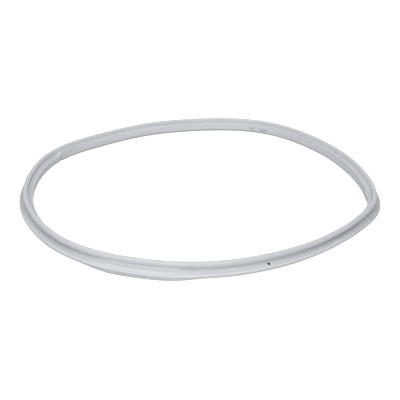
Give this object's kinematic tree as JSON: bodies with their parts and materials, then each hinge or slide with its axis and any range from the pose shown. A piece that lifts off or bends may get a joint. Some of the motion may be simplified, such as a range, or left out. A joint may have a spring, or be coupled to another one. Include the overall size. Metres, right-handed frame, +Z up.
{
  "type": "pressure cooker sealing ring",
  "caption": "Moulded silicone lid gasket for a stovetop pressure cooker: round top bead, flared outer skirt, thin upright inner lip and a small vent hole.",
  "frame": {"origin": "on the ring's axis, in the seat plane under the skirt", "axes": "+Z up along the ring's axis, bead on top; the vent hole is in the -Y half, turned 69.5 degrees clockwise from +X seen from above"},
  "size_m": [0.238, 0.238, 0.0086],
  "materials": {
    "silicone": "translucent cool grey silicone, satin"
  },
  "bodies": {
    "root": {"sealing_ring": "silicone"}
  },
  "joints": []
}
